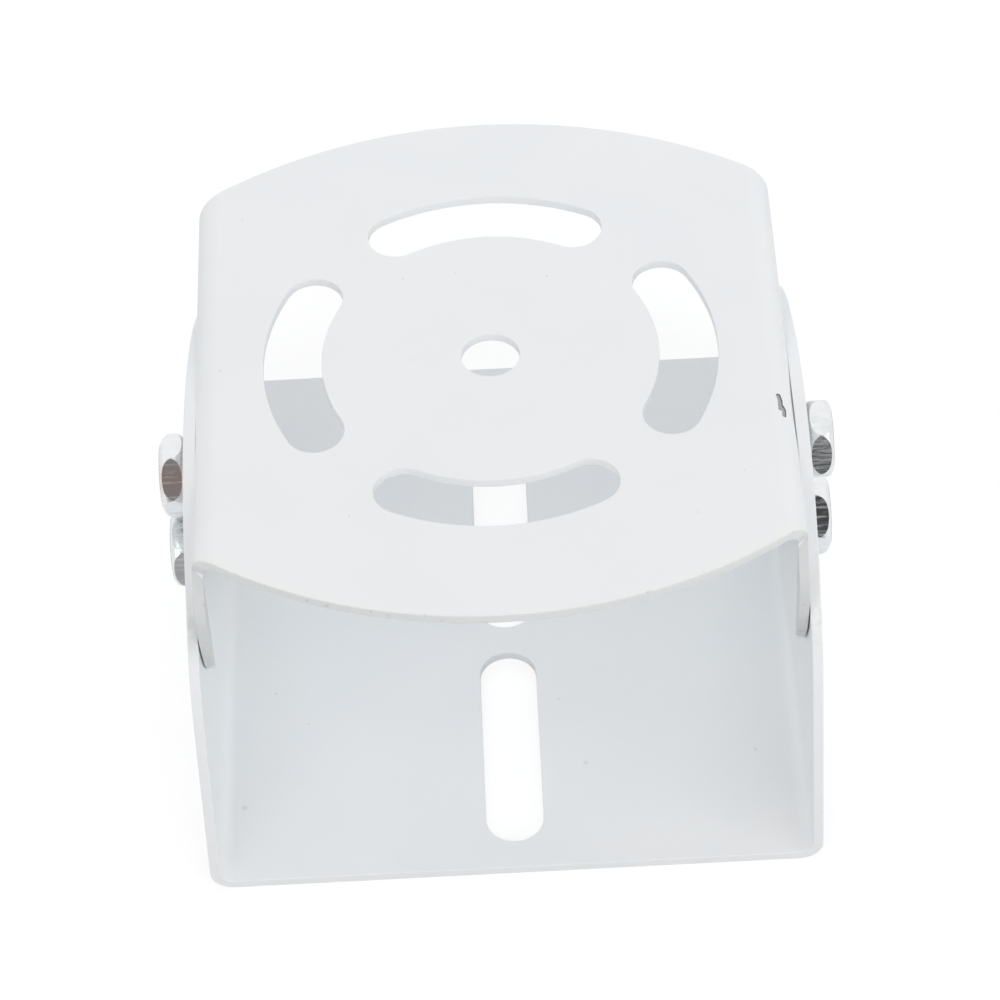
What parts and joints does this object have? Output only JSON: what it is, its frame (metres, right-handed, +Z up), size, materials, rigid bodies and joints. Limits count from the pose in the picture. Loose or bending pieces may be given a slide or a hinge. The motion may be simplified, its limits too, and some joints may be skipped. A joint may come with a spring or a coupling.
{
  "type": "camera bracket",
  "caption": "Tilting camera bracket: a slotted plate with round ears, bolted inside a folded base with tall ears.",
  "frame": {"origin": "on the underside of the base's web, at its middle", "axes": "+Z up from the web to the plate, +Y from the open front to the back, +X to the right"},
  "size_m": [0.0904, 0.094, 0.052],
  "materials": {
    "white_powder_coat": "satin white powder coat on folded steel sheet, faint orange peel",
    "bright_zinc": "bright zinc plated steel, turned marks on the flats"
  },
  "bodies": {
    "base": {"lower_bracket": "white_powder_coat"},
    "tilting_plate": {"upper_bracket": "white_powder_coat", "pivot_bolt_left": "bright_zinc", "pivot_bolt_right": "bright_zinc", "lock_bolt_left": "bright_zinc", "lock_bolt_right": "bright_zinc"}
  },
  "joints": [
    {"name": "tilt", "type": "hinge", "parent": "base", "child": "tilting_plate", "pos_m": [0, -0.01, 0.043], "axis": [1, 0, 0], "range_deg": [-40, 40]}
  ]
}
